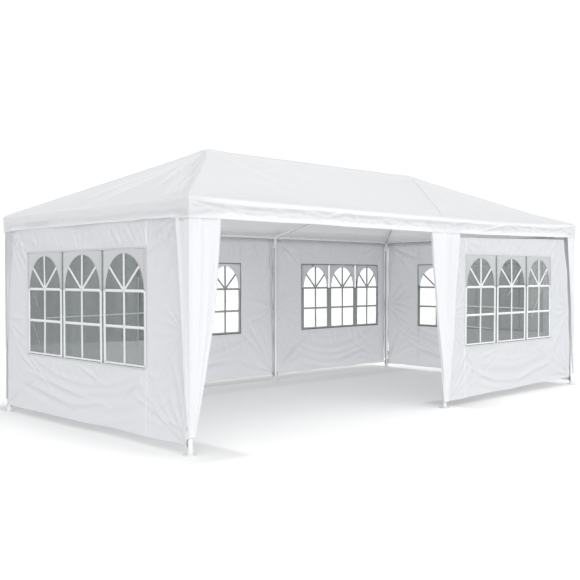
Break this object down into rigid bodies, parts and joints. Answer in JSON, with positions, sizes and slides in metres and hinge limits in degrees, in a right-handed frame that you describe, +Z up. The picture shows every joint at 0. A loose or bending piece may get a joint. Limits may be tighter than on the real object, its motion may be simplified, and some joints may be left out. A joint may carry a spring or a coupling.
{
  "type": "marquee tent",
  "caption": "Rectangular white party marquee with a two-peak hip roof, a valance, tapering leg covers, arched window walls and one open front bay on a tubular frame.",
  "frame": {"origin": "on the ground under the middle of the tent, at the bottom centre of its box", "axes": "+X along the long front to the closed bay, +Y from the open front to the back, +Z up"},
  "size_m": [6.0562, 3.0562, 2.5915],
  "materials": {
    "canopy_fabric": "white woven sheet with a faint sheen",
    "wall_fabric": "white woven sheet, slightly translucent",
    "window_film": "clear flexible film with soft ripples",
    "coated_tube": "white powder coat on round steel tube",
    "connector_steel": "white powder coat on welded sleeves",
    "plate_steel": "pale grey coated pressed steel"
  },
  "bodies": {
    "root": {"roof_panel_front": "canopy_fabric", "roof_panel_back": "canopy_fabric", "roof_panel_left": "canopy_fabric", "roof_panel_right": "canopy_fabric", "valance_front": "canopy_fabric", "valance_back": "canopy_fabric", "valance_left": "canopy_fabric", "valance_right": "canopy_fabric", "leg_cover_front_left": "canopy_fabric", "leg_cover_front_mid": "canopy_fabric", "leg_cover_front_right": "canopy_fabric", "leg_cover_back_left": "canopy_fabric", "leg_cover_back_mid": "canopy_fabric", "leg_cover_back_right": "canopy_fabric", "front_right_wall": "wall_fabric", "back_left_wall": "wall_fabric", "back_right_wall": "wall_fabric", "end_left_wall": "wall_fabric", "end_right_wall": "wall_fabric", "front_right_window_film": "window_film", "back_left_window_film": "window_film", "back_right_window_film": "window_film", "end_left_window_film": "window_film", "end_right_window_film": "window_film", "leg_front_left": "coated_tube", "leg_front_mid": "coated_tube", "leg_front_right": "coated_tube", "leg_back_left": "coated_tube", "leg_back_mid": "coated_tube", "leg_back_right": "coated_tube", "eave_rail_front_left": "coated_tube", "eave_rail_front_right": "coated_tube", "eave_rail_back_left": "coated_tube", "eave_rail_back_right": "coated_tube", "eave_rail_end_left": "coated_tube", "eave_rail_end_right": "coated_tube", "hip_rafter_front_left": "coated_tube", "hip_rafter_front_right": "coated_tube", "hip_rafter_back_left": "coated_tube", "hip_rafter_back_right": "coated_tube", "mid_rafter_front": "coated_tube", "mid_rafter_back": "coated_tube", "ridge_pole": "coated_tube", "corner_connector_front_left": "connector_steel", "corner_connector_front_right": "connector_steel", "corner_connector_back_left": "connector_steel", "corner_connector_back_right": "connector_steel", "mid_connector_front": "connector_steel", "mid_connector_back": "connector_steel", "peak_connector_left": "connector_steel", "peak_connector_right": "connector_steel", "foot_front_left": "plate_steel", "foot_front_mid": "plate_steel", "foot_front_right": "plate_steel", "foot_back_left": "plate_steel", "foot_back_mid": "plate_steel", "foot_back_right": "plate_steel"}
  },
  "joints": []
}
